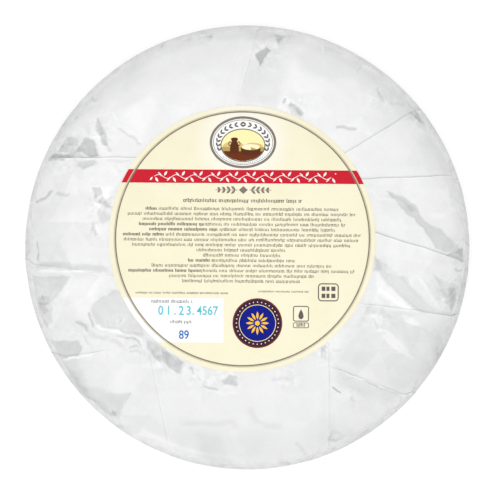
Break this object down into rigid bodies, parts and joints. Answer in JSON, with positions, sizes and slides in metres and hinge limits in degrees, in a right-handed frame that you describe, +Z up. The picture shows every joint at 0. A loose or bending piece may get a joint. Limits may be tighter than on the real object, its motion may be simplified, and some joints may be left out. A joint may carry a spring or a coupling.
{
  "type": "wrapped cheese wheel",
  "caption": "Flat round wheel of soft white-mould cheese, folded into pleated film-coated white paper, with a round cream label on top.",
  "frame": {"origin": "centre of the flat face it rests on", "axes": "+Z up, through the middle of the round faces; +Y towards the top of the label's print, +X to its right"},
  "size_m": [0.24, 0.24, 0.0333],
  "materials": {
    "cheese_rind": "soft white mould bloom, matte",
    "film_paper": "film-coated paper, semi-gloss, creased",
    "label_paper": "printed label paper, satin"
  },
  "bodies": {
    "root": {"cheese": "cheese_rind", "paper_wrapper": "film_paper", "round_label": "label_paper"}
  },
  "joints": []
}
